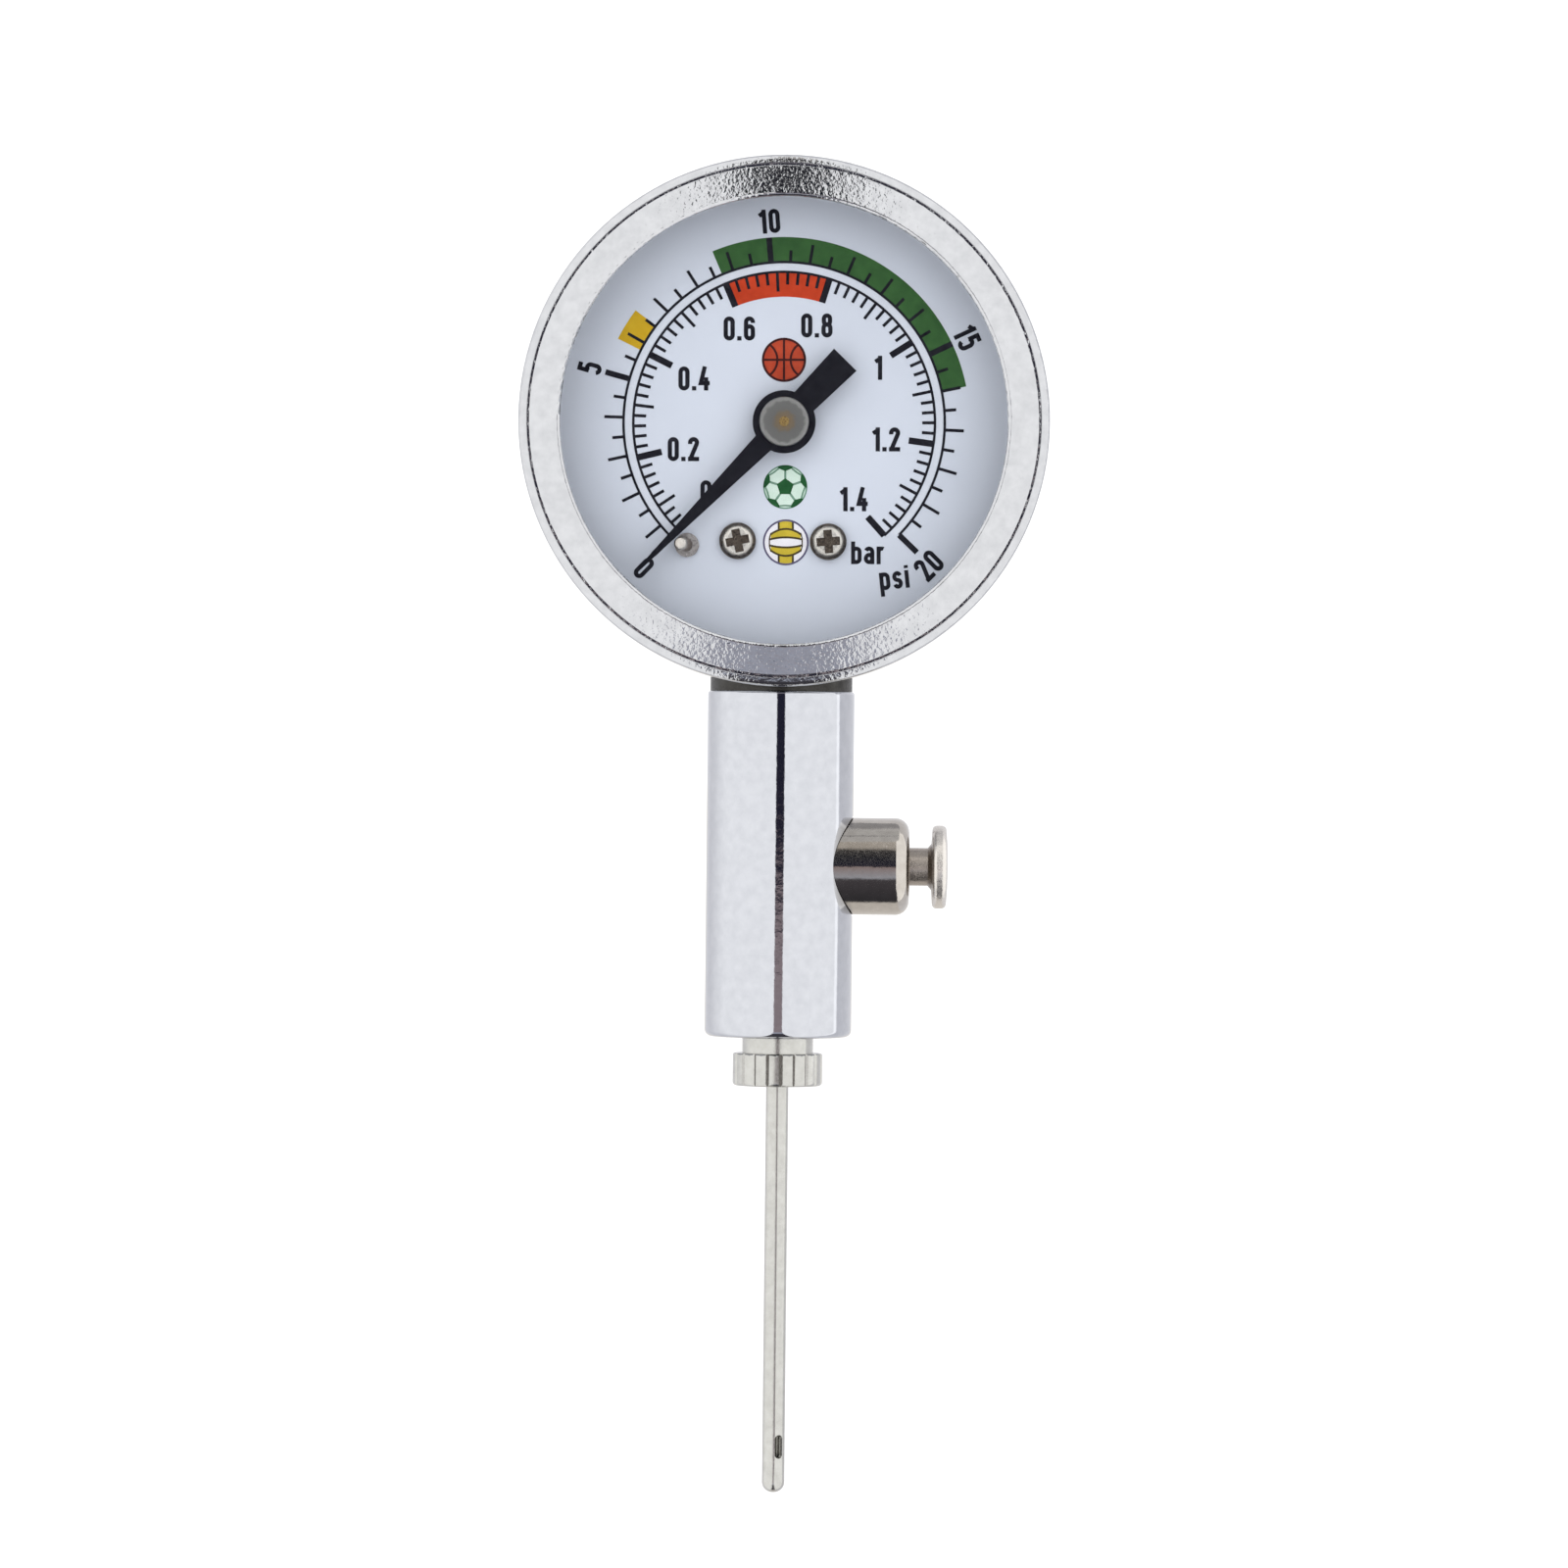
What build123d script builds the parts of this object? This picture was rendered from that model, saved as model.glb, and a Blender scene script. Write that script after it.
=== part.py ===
"""Ball pressure gauge: a 40 mm dial gauge on a chromed barrel with a release valve and a needle.

The origin is the centre of the needle where it leaves the collar of its base. +Z runs up the stem
towards the dial, the dial faces -Y, and the release valve stands out along +X.
"""
from build123d import *
from math import acos, atan2, cos, degrees, pi, radians, sin, sqrt, tan
import os

# ---------------------------------------------------------------- heights along the stem (mm)
DIAL_Z = 52.95             # dial centre
COLLAR_TOP = 2.62
BARREL_BOTTOM = 3.95
BARREL_TOP = 31.7
VALVE_Z = 17.7             # axis of the release valve
NEEDLE_TIP = -32.7

# ---------------------------------------------------------------- gauge case
CASE_R = 20.0              # outside of the drum
CASE_WALL = 0.8
CASE_RIM = -8.4            # front rim of the drum, y
CASE_BACK = 9.5            # outside of the back wall, y
BEZEL_R = 21.0
BEZEL_FRONT = -11.5        # frontmost edge of the bezel, y
BEZEL_REAR = -6.0
GROOVE_IN = 20.13          # inner edge of the fine groove near the bezel's rim
GROOVE_OUT = 20.3
CRIMP_R = CASE_R + 0.03    # inside of the bezel where it grips the drum
VIEW_R = 17.65             # radius of the opening that shows the dial
LENS_R = 19.6
LENS_FRONT = -10.45
LENS_BACK = -9.0
DIAL_R = 18.9
DIAL_FRONT = -6.5
DIAL_BACK = -5.9

# ---------------------------------------------------------------- pointer
POINTER_FRONT = -8.05
POINTER_BACK = -7.6
POINTER_REST = 44.0        # degrees, clockwise from straight down
POINTER_LENGTH = 16.4
POINTER_TAIL = 6.9
POINTER_HUB_R = 2.5
BOSS_R = 1.97
BOSS_FRONT = -8.5

# ---------------------------------------------------------------- dial fittings, from the dial centre
DIAL_SCREW_X = 3.6
DIAL_SCREW_Z = -9.43
SCREW_HEAD_R = 1.46
SCREW_HEAD_HEIGHT = 0.85
SCREW_END = -2.4           # y
SCREW_TURNS = (12, 5)      # how far each cross is turned, degrees
CROSS_LENGTH = 1.27        # length of a screw's cross, in head radii
CROSS_WIDTH = 0.46         # width of its arms, in head radii
STOP_PIN_BASE = (-7.62, -9.8)
STOP_PIN_END = (-8.16, -9.73)
STOP_PIN_R = 0.53
STOP_PIN_FLANGE_R = 0.96
DIAL_HOLE_R = 1.3          # hole for the pointer's arbor
SHANK_HOLE_R = 0.85

# ---------------------------------------------------------------- movement (module 0.2 gears)
MODULE = 0.2
PINION_TEETH = 10
SECTOR_TEETH = 80          # teeth on the whole circle
SECTOR_TEETH_CUT = 11      # teeth that the sector carries
PRESSURE_ANGLE = 25.0
BACKLASH = 0.04
GEAR_CENTRES = MODULE * (PINION_TEETH + SECTOR_TEETH) / 2
SECTOR_ANGLE = -45.0       # direction from the dial centre to the sector's arbor
SECTOR_FRONT = -1.6
SECTOR_BACK = -1.0
TAIL_LENGTH = 3.75         # sector arbor to the link's lower pivot
TAIL_ANGLE = -45.4
PLATE = 0.7                # thickness of the movement plates
FRONT_PLATE_BACK = -3.8
BACK_PLATE_FRONT = 0.9
PLATE_LOW = -7.9           # lower edge of the plates, from the dial centre
PILLARS = [(-4.2, 3.6), (8.6, -1.6), (-4.2, -6.2)]
PILLAR_R = 0.9
LINK_FRONT = -0.85
LINK_BACK = -0.35

# ---------------------------------------------------------------- Bourdon tube
TUBE_R = 15.0              # radius of the tube's centre line
TUBE_WIDE = 5.0
TUBE_THICK = 1.6
TUBE_WALL = 0.25
TUBE_ROOT = 262.0          # direction of the brazed end
TUBE_END = -14.0           # direction of the free end
TIP_PIVOT_R = 12.6
TIP_PIVOT_ANGLE = -20.0

# ---------------------------------------------------------------- socket and stem
SOCKET_X = 6.0             # half width of the block
SOCKET_BACK = 4.2
SOCKET_STEP = -12.0        # top of the deep part of the block, from the dial centre
SOCKET_TOP = -8.1
STUD_R = 4.0
STUD_BOTTOM = 24.0
SEAL_THICK = 0.5
BARREL_R = 5.9
PASSAGE_R = 1.25
WASHER_R = 5.7

# ---------------------------------------------------------------- release valve, x along its axis
VALVE_R = 3.9
VALVE_FACE = 10.45
VALVE_NOSE = 1.1           # rounding of the valve body's outer end
POCKET_FLOOR = 4.0
SPIGOT_R = 2.5
SPIGOT_END = 1.6
CHAMBER_END = 4.6
STEM_R = 1.52
STEM_BACK = 8.4
ROD_R = 0.7
BUTTON_BACK = 12.2
BUTTON_FRONT = 13.5
BUTTON_R = 3.34
BUTTON_RIM = (12.3, 13.38)     # the cap's straight rim, x

# ---------------------------------------------------------------- needle and its base
COLLAR_R = 3.6
KNURLS = 20
KNURL_SIZE = 0.3
NECK_R = 2.85
THREAD_R = 2.5             # bore in the barrel, plain at the thread's crest
THREAD_PITCH = 0.8
THREAD_START = 5.7         # height of the thread's first groove
SEAL_GROOVE = (4.4, 5.1)   # groove for the O-ring at the stud's root
SEAL_GROOVE_R = 1.9
STUD_TOP = 8.5
NEEDLE_R = 0.9
NEEDLE_BORE_R = 0.5
NEEDLE_SEAT = 6.0          # upper end of the tube inside the base
NEEDLE_ROOT_R = 0.7        # the tube is turned down where it sits in the base
NEEDLE_NOSE = NEEDLE_R - 0.08
EYE_Z = -29.0              # centre of the side opening
EYE_LENGTH = 1.9
EYE_WIDTH = 0.65
EYE_TURN = 28.0            # degrees from the front towards the valve

STEM = Plane.XZ
DIAL = Plane(origin=(0, 0, DIAL_Z), x_dir=(0, 0, 1), z_dir=(-1, 0, 0))
VALVE = Plane(origin=(0, 0, VALVE_Z), x_dir=(0, 0, 1), z_dir=(0, 1, 0))


def turned(outline, plane):
    """A turned piece. Each point is its radius, its place along the axis and its corner radius."""
    points = [(radius, along) for radius, along, corner in outline]
    corners = [corner for radius, along, corner in outline]
    face = make_face(FilletPolyline(*points, radius=corners, close=True))
    axis = Axis(plane.origin, plane.y_dir)
    return revolve(plane * face, axis)


def ring(inner, outer, start, end, plane):
    """A plain ring, or a disc when the inner radius is 0."""
    return turned([(inner, start, 0), (outer, start, 0), (outer, end, 0), (inner, end, 0)], plane)


def slab(sketch, front, back):
    """A flat piece cut to a front-view sketch about the dial centre, between two depths."""
    plane = Plane(origin=(0, back, DIAL_Z), x_dir=(1, 0, 0), z_dir=(0, -1, 0))
    return extrude(plane * sketch, amount=back - front)


def polar(radius, angle):
    return (radius * cos(radians(angle)), radius * sin(radians(angle)))


def pins(places, radius, front, back):
    """Round pins or holes at front-view places."""
    return [slab(Pos(*place) * Circle(radius), front, back) for place in places]


def bar(start, end, width):
    """A front-view bar with round ends between two places."""
    length = sqrt((end[0] - start[0]) ** 2 + (end[1] - start[1]) ** 2)
    turn = degrees(atan2(end[1] - start[1], end[0] - start[0]))
    middle = ((start[0] + end[0]) / 2, (start[1] + end[1]) / 2)
    return Pos(*middle) * Rot(0, 0, turn) * SlotCenterToCenter(length, width)


def wedge(radius, start, end):
    """A front-view pie slice between two directions."""
    middle = polar(radius, (start + end) / 2)
    edge = Polyline(polar(radius, end), (0, 0), polar(radius, start))
    rim = ThreePointArc(polar(radius, start), middle, polar(radius, end))
    return make_face(Curve() + [edge, rim])


SECTOR_PIVOT = polar(GEAR_CENTRES, SECTOR_ANGLE)
TIP_PIVOT = polar(TIP_PIVOT_R, TIP_PIVOT_ANGLE)
TAIL = polar(TAIL_LENGTH, TAIL_ANGLE)
LINK_PIVOT = (SECTOR_PIVOT[0] + TAIL[0], SECTOR_PIVOT[1] + TAIL[1])


# ================================================================ case
def case_cup():
    inside = CASE_R - CASE_WALL
    drum = turned(
        [
            (inside, CASE_RIM, 0),
            (CASE_R, CASE_RIM, 0.2),
            (CASE_R, CASE_BACK, 2.2),
            (15.5, CASE_BACK, 0),
            (15.1, CASE_BACK - 0.3, 0),
            (14.7, CASE_BACK, 0),
            (0, CASE_BACK, 0),
            (0, CASE_BACK - CASE_WALL, 0),
            (inside, CASE_BACK - CASE_WALL, 1.4),
        ],
        DIAL,
    )
    return drum - ring(0, STUD_R + 0.05, BARREL_TOP, DIAL_Z - 15, STEM)


def bezel_ring():
    """The front ring. Its face falls away like a shallow cone to a fine groove and a round rim."""
    groove_floor = BEZEL_FRONT + 0.75
    return turned(
        [
            (VIEW_R, BEZEL_FRONT, 0.25),
            (GROOVE_IN, BEZEL_FRONT + 0.5, 0.05),
            (GROOVE_IN, groove_floor, 0),
            (GROOVE_OUT, groove_floor, 0),
            (GROOVE_OUT, BEZEL_FRONT + 0.55, 0.06),
            (BEZEL_R, groove_floor, 0.5),
            (BEZEL_R, BEZEL_REAR, 0.25),
            (CRIMP_R, BEZEL_REAR, 0),
            (CRIMP_R, LENS_FRONT, 0),
            (VIEW_R, LENS_FRONT, 0.25),
        ],
        DIAL,
    )


def lens():
    return ring(0, LENS_R, LENS_FRONT, LENS_BACK, DIAL)


def lens_gasket():
    return ring(CASE_R - CASE_WALL - 1.0, CASE_R - 0.1, LENS_BACK, CASE_RIM, DIAL)


# ================================================================ dial
def screw_places():
    return [(-DIAL_SCREW_X, DIAL_SCREW_Z), (DIAL_SCREW_X, DIAL_SCREW_Z)]


def dial_plate():
    plate = ring(0, DIAL_R, DIAL_FRONT, DIAL_BACK, DIAL)
    plate -= slab(Circle(DIAL_HOLE_R), DIAL_FRONT - 1, DIAL_BACK + 1)
    plate -= pins(screw_places(), SHANK_HOLE_R, DIAL_FRONT - 1, DIAL_BACK + 1)
    plate -= pins([STOP_PIN_BASE], STOP_PIN_R, DIAL_FRONT - 1, DIAL_BACK + 1)
    return plate


def cross_screw(place, turn, head_r, head_height, shank_r, face, tip):
    """A pan-head screw with a cross recess. Its head stands on a face and its shank runs to a tip."""
    front = face - head_height
    plane = Plane(origin=(place[0], 0, DIAL_Z + place[1]), x_dir=(0, 0, 1), z_dir=(-1, 0, 0))
    screw = turned(
        [
            (0, front, 0),
            (head_r * 0.7, front, 0.5),
            (head_r, face - head_height * 0.5, 0.3),
            (head_r, face, 0),
            (shank_r, face, 0),
            (shank_r, tip, 0.2),
            (0, tip, 0),
        ],
        plane,
    )
    arm = Rectangle(head_r * CROSS_LENGTH, head_r * CROSS_WIDTH)
    cross = Pos(*place) * Rot(0, 0, turn) * (arm + Rot(0, 0, 90) * arm)
    return screw - slab(cross, front - 0.1, front + head_height * 0.6)


def dial_screws():
    """The two screws through the dial, tapped into the socket."""
    shank_r = 0.8
    screws = []
    for place, turn in zip(screw_places(), SCREW_TURNS):
        screw = cross_screw(place, turn, SCREW_HEAD_R, SCREW_HEAD_HEIGHT, shank_r, DIAL_FRONT, SCREW_END)
        screws.append(screw)
    return screws


def stop_pin():
    """A flanged pin in the dial, bent a little towards the resting pointer."""
    base = Vector(STOP_PIN_BASE[0], DIAL_FRONT, DIAL_Z + STOP_PIN_BASE[1])
    end = Vector(STOP_PIN_END[0], BOSS_FRONT, DIAL_Z + STOP_PIN_END[1])
    lean = end - base
    pin = extrude(Plane(origin=base, z_dir=lean) * Circle(STOP_PIN_R), amount=lean.length)
    pin = fillet(pin.faces().sort_by(Axis.Y)[0].edges(), 0.25)
    flange = slab(Pos(*STOP_PIN_BASE) * Circle(STOP_PIN_FLANGE_R), DIAL_FRONT - 0.25, DIAL_FRONT)
    shank = slab(Pos(*STOP_PIN_BASE) * Circle(STOP_PIN_R), DIAL_FRONT, DIAL_BACK)
    return pin + flange + shank


# ================================================================ socket, tube and link
def tube_section(wide, thick):
    """The tube's flattened section, wide along the dial axis."""
    return DIAL * Pos(TUBE_R, 0) * Rot(0, 0, 90) * SlotOverall(wide, thick)


def swept_tube(wide, thick, start, end):
    """The section carried round the dial axis between two directions, in degrees."""
    axis = Axis((0, 0, DIAL_Z), (0, 1, 0))
    section = tube_section(wide, thick).rotate(axis, 90 - start)
    return revolve(section, Axis((0, 0, DIAL_Z), (0, 1, 0)), revolution_arc=start - end)


def bourdon_tube():
    inside = swept_tube(TUBE_WIDE - 2 * TUBE_WALL, TUBE_THICK - 2 * TUBE_WALL, TUBE_ROOT, TUBE_END)
    return swept_tube(TUBE_WIDE, TUBE_THICK, TUBE_ROOT, TUBE_END) - inside


def tube_tip():
    """The end plug brazed on the tube, with an ear and a pin for the link."""
    block = wedge(16.0, TUBE_END - 4.5, TUBE_END) - Circle(14.0)
    plug = slab(block, -2.9, 2.9)
    ear = bar(TIP_PIVOT, polar(14.6, TUBE_END - 4), 1.8)
    plug += slab(ear, SECTOR_FRONT, SECTOR_BACK)
    plug += slab(Pos(*TIP_PIVOT) * Circle(0.4), SECTOR_BACK, LINK_BACK + 0.15)
    return plug


def link():
    plate = bar(TIP_PIVOT, LINK_PIVOT, 1.3) + Pos(*LINK_PIVOT) * Circle(0.95)
    plate -= Pos(*TIP_PIVOT) * Circle(0.44)
    plate -= Pos(*LINK_PIVOT) * Circle(0.5)
    return slab(plate, LINK_FRONT, LINK_BACK)


def movement_screw_places():
    return [(-2.2, -10.2), (2.2, -10.2)]


def gauge_socket():
    deep = Pos(0, (SOCKET_STEP - 22) / 2) * Rectangle(2 * SOCKET_X, SOCKET_STEP + 22)
    deep &= Circle(CASE_R - CASE_WALL)
    shallow = Pos(0, (SOCKET_TOP + SOCKET_STEP) / 2) * Rectangle(2 * SOCKET_X, SOCKET_TOP - SOCKET_STEP)
    block = slab(deep, DIAL_BACK, SOCKET_BACK) + slab(shallow, DIAL_BACK, BACK_PLATE_FRONT)
    stud = ring(0, STUD_R, STUD_BOTTOM, DIAL_Z - CASE_R + 2, STEM)
    bend = DIAL_Z - TUBE_R
    passage = ring(0, 0.75, STUD_BOTTOM - 1, bend, STEM)
    crossway = Pos(-1.1, 0, bend + 0.15) * Rot(0, 90, 0) * Cylinder(0.5, 2.4)
    socket = block + stud - passage - crossway
    socket -= swept_tube(TUBE_WIDE, TUBE_THICK, TUBE_ROOT, 230)
    socket -= pins(screw_places(), 0.8, DIAL_BACK - 1, SCREW_END)
    socket -= pins(movement_screw_places(), 0.6, -1.6, BACK_PLATE_FRONT + 1)
    return socket


# ================================================================ movement
def plate_outline():
    width = 15.6
    height = 5.0 - PLATE_LOW
    return Pos(2.2, (5.0 + PLATE_LOW) / 2) * RectangleRounded(width, height, 1.6)


def movement_front_plate():
    plate = slab(plate_outline(), FRONT_PLATE_BACK - PLATE, FRONT_PLATE_BACK)
    plate -= pins([(0, 0)], 0.54, FRONT_PLATE_BACK - 1, FRONT_PLATE_BACK + 1)
    plate -= pins([SECTOR_PIVOT], 0.44, FRONT_PLATE_BACK - 1, FRONT_PLATE_BACK + 1)
    return plate - pins(PILLARS, 0.45, FRONT_PLATE_BACK - 1, FRONT_PLATE_BACK + 1)


def movement_back_plate():
    tongue = Pos(0, -9.4) * Rectangle(8.0, 4.8)
    plate = slab(plate_outline() + tongue, BACK_PLATE_FRONT, BACK_PLATE_FRONT + PLATE)
    plate -= pins([(0, 0), SECTOR_PIVOT], 0.44, BACK_PLATE_FRONT - 1, BACK_PLATE_FRONT + 2)
    return plate - pins(movement_screw_places(), 0.6, BACK_PLATE_FRONT - 1, BACK_PLATE_FRONT + 2)


def movement_pillars():
    posts = []
    for place in PILLARS:
        post = pins([place], PILLAR_R, FRONT_PLATE_BACK, BACK_PLATE_FRONT)[0]
        posts.append(post - pins([place], 0.45, FRONT_PLATE_BACK - 1, FRONT_PLATE_BACK + 2)[0])
    return posts


def pillar_screws():
    face = FRONT_PLATE_BACK - PLATE
    return [cross_screw(place, 15, 0.95, 0.5, 0.45, face, FRONT_PLATE_BACK + 1.9) for place in PILLARS]


def movement_screws():
    """Two screws that hold the back plate on the socket, heads to the rear."""
    face = BACK_PLATE_FRONT + PLATE
    screws = []
    for place in movement_screw_places():
        head = slab(Pos(*place) * Circle(1.15), face, face + 0.6)
        slot = slab(Pos(*place) * Rectangle(3, 0.3), face + 0.3, face + 1)
        shank = slab(Pos(*place) * Circle(0.6), -1.6, face)
        screws.append(head + shank - slot)
    return screws


def involute_gear_tooth(teeth, length_down):
    """One tooth standing along +X: involute flanks, stub tip, root length_down below the pitch line."""
    pitch_r = MODULE * teeth / 2
    base_r = pitch_r * cos(radians(PRESSURE_ANGLE))
    tip_r = pitch_r + 0.8 * MODULE
    root_r = pitch_r - length_down
    thickness = pi * MODULE / 2 - BACKLASH / 2
    involute_at_pitch = tan(radians(PRESSURE_ANGLE)) - radians(PRESSURE_ANGLE)
    low_r = max(base_r, root_r)
    steps = 5
    flank = []
    for step in range(steps + 1):
        radius = low_r + (tip_r - low_r) * step / steps
        pressure = acos(base_r / radius)
        half = thickness / (2 * pitch_r) + involute_at_pitch - (tan(pressure) - pressure)
        flank.append((radius, half))
    left = [(radius * cos(half), radius * sin(half)) for radius, half in flank]
    right = [(x, -y) for x, y in reversed(left)]
    foot_r = root_r - 0.05
    foot = [(foot_r * cos(flank[0][1]), foot_r * sin(flank[0][1]))]
    mirrored_foot = [(x, -y) for x, y in foot]
    return make_face(Polyline(*(foot + left + right + mirrored_foot), close=True))


def pinion_arbor():
    """The pinion cut on its arbor, with the hairspring's collet and the pointer's seat."""
    arbor = turned(
        [
            (0, BOSS_FRONT - 0.1, 0),
            (0.4, BOSS_FRONT - 0.1, 0.1),
            (0.4, -5.2, 0),
            (0.5, -5.2, 0),
            (0.5, FRONT_PLATE_BACK + 0.1, 0),
            (0.9, FRONT_PLATE_BACK + 0.1, 0),
            (0.9, -2.6, 0),
            (0.6, -2.6, 0),
            (0.6, 0.75, 0),
            (0.4, 0.75, 0),
            (0.4, BACK_PLATE_FRONT + PLATE, 0),
            (0, BACK_PLATE_FRONT + PLATE, 0),
        ],
        DIAL,
    )
    gear = Circle(MODULE * PINION_TEETH / 2 - MODULE)
    tooth = involute_gear_tooth(PINION_TEETH, MODULE)
    spacing = 360 / PINION_TEETH
    for number in range(PINION_TEETH):
        gear += Rot(0, 0, SECTOR_ANGLE + spacing * (number + 0.5)) * tooth
    return arbor + slab(gear, -2.2, -0.4)


def sector_gear():
    root_r = MODULE * SECTOR_TEETH / 2 - MODULE
    spacing = 360 / SECTOR_TEETH
    meshing = SECTOR_ANGLE + 180
    first = meshing + spacing
    last = first - (SECTOR_TEETH_CUT - 1) * spacing
    start = last - spacing / 2
    end = first + spacing / 2
    web = wedge(root_r, start, end)
    web -= wedge(root_r - 1.3, start + 7, end - 7) - Circle(2.8)
    tooth = involute_gear_tooth(SECTOR_TEETH, MODULE)
    for number in range(SECTOR_TEETH_CUT):
        web += Rot(0, 0, first - number * spacing) * tooth
    web += Circle(1.3) + bar((0, 0), TAIL, 1.6)
    web -= Circle(0.7)
    web -= Pos(*TAIL) * Circle(0.35)
    return slab(Pos(*SECTOR_PIVOT) * web, SECTOR_FRONT, SECTOR_BACK)


def sector_arbor():
    plane = Plane(origin=(SECTOR_PIVOT[0], 0, DIAL_Z + SECTOR_PIVOT[1]), x_dir=(0, 0, 1), z_dir=(-1, 0, 0))
    return turned(
        [
            (0, FRONT_PLATE_BACK - PLATE, 0),
            (0.4, FRONT_PLATE_BACK - PLATE, 0),
            (0.4, FRONT_PLATE_BACK + 0.15, 0),
            (0.7, FRONT_PLATE_BACK + 0.15, 0),
            (0.7, SECTOR_BACK, 0),
            (1.1, SECTOR_BACK, 0),
            (1.1, SECTOR_BACK + 0.5, 0),
            (0.7, SECTOR_BACK + 0.5, 0),
            (0.7, BACK_PLATE_FRONT - 0.15, 0),
            (0.4, BACK_PLATE_FRONT - 0.15, 0),
            (0.4, BACK_PLATE_FRONT + PLATE, 0),
            (0, BACK_PLATE_FRONT + PLATE, 0),
        ],
        plane,
    )


def link_pin():
    return pins([LINK_PIVOT], 0.35, SECTOR_FRONT, LINK_BACK + 0.15)[0]


def hairspring():
    """A flat spiral made of half turns whose centres alternate."""
    pitch = 0.5
    first = 1.1
    strip = 0.12
    turns = 4
    spiral = Sketch()
    for turn in range(turns):
        for side in (1, -1):
            radius = first + pitch * turn + (0 if side == 1 else pitch / 2)
            centre = 0 if side == 1 else pitch / 2
            band = Circle(radius + strip / 2) - Circle(radius - strip / 2)
            half = Pos(0, side * 5) * Rectangle(20, 10)
            spiral += Pos(centre, 0) * (band & half)
    return slab(spiral, -3.3, -2.8)


def hairspring_stud():
    """The post on the front plate that holds the hairspring's outer end."""
    return pins([(3.55, 0)], 0.36, FRONT_PLATE_BACK, -2.6)[0]


# ================================================================ pointer
def pointer():
    """The blade is drawn straight down and then turned to its resting place."""
    width = 1.9
    blade = Polyline(
        (-width / 2, 0), (-0.11, -POINTER_LENGTH), (0.11, -POINTER_LENGTH), (width / 2, 0), close=True
    )
    tail = Polyline((-0.97, 0), (-1.25, POINTER_TAIL), (1.25, POINTER_TAIL), (0.97, 0), close=True)
    shape = make_face(blade) + make_face(tail) + Circle(POINTER_HUB_R)
    plate = slab(Rot(0, 0, -POINTER_REST) * shape, POINTER_FRONT, POINTER_BACK)
    plate += slab(Circle(0.95), POINTER_BACK, POINTER_BACK + 0.6)
    return plate - slab(Circle(0.4), POINTER_FRONT - 1, POINTER_BACK + 1)


def pointer_boss():
    return turned(
        [
            (0.4, BOSS_FRONT, 0),
            (BOSS_R, BOSS_FRONT, 0.15),
            (BOSS_R, POINTER_FRONT, 0),
            (0.4, POINTER_FRONT, 0),
        ],
        DIAL,
    )


# ================================================================ barrel
def stem_washer():
    """The dark ring that beds the drum on the barrel. Its top is hollowed to the drum's curve."""
    blank = ring(STUD_R + 0.05, WASHER_R, BARREL_TOP, BARREL_TOP + 4, STEM)
    return blank - ring(0, CASE_R, -8, 8, DIAL)


def stud_seal():
    return ring(1.3, STUD_R - 0.05, STUD_BOTTOM - SEAL_THICK, STUD_BOTTOM, STEM)


def handle_barrel():
    tube = turned(
        [
            (0, BARREL_BOTTOM, 0),
            (BARREL_R, BARREL_BOTTOM, 0.55),
            (BARREL_R, BARREL_TOP, 0.25),
            (0, BARREL_TOP, 0),
        ],
        STEM,
    )
    tube -= ring(0, STUD_R + 0.02, STUD_BOTTOM - SEAL_THICK, BARREL_TOP + 1, STEM)
    tube -= ring(0, PASSAGE_R, BARREL_BOTTOM - 1, STUD_BOTTOM, STEM)
    tube -= ring(0, THREAD_R, BARREL_BOTTOM - 1, STUD_TOP + 0.9, STEM)
    tube -= ring(0, VALVE_R + 0.03, POCKET_FLOOR, BARREL_R + 1, VALVE)
    tube -= ring(0, SPIGOT_R + 0.02, -1.6, POCKET_FLOOR, VALVE)
    relief = ring(0, VALVE_R + 0.16, POCKET_FLOOR, BARREL_R + 1, VALVE)
    core = ring(0, BARREL_R - 0.14, BARREL_BOTTOM, BARREL_TOP, STEM)
    return tube - (relief - core)


# ================================================================ release valve
def valve_housing():
    """The turned body of the valve, bored for the stem and stepped down to the poppet's seat."""
    bore = STEM_R + 0.06
    return turned(
        [
            (1.0, SPIGOT_END, 0),
            (SPIGOT_R, SPIGOT_END, 0.2),
            (SPIGOT_R, POCKET_FLOOR, 0),
            (VALVE_R, POCKET_FLOOR, 0),
            (VALVE_R, VALVE_FACE - 0.08, VALVE_NOSE),
            (bore + 0.25, VALVE_FACE, 0.05),
            (bore, VALVE_FACE - 0.12, 0),
            (bore, CHAMBER_END, 0),
            (1.0, CHAMBER_END, 0),
        ],
        VALVE,
    )


def valve_button():
    """The mushroom button, its stem and the thin rod that carries the poppet."""
    return turned(
        [
            (0, 0.2, 0),
            (ROD_R, 0.2, 0.1),
            (ROD_R, STEM_BACK, 0),
            (STEM_R, STEM_BACK, 0.15),
            (STEM_R, BUTTON_BACK - 0.3, 0),
            (STEM_R + 0.35, BUTTON_BACK, 0.1),
            (BUTTON_R, BUTTON_RIM[0], 0.35),
            (BUTTON_R, BUTTON_RIM[1], 0.38),
            (BUTTON_R * 0.6, BUTTON_FRONT - 0.02, 1.5),
            (0, BUTTON_FRONT, 0),
        ],
        VALVE,
    )


def valve_poppet():
    return ring(ROD_R, 1.7, 0.3, 1.06, VALVE)


def valve_seal():
    return ring(ROD_R, 1.7, 1.06, SPIGOT_END - 0.02, VALVE)


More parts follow.
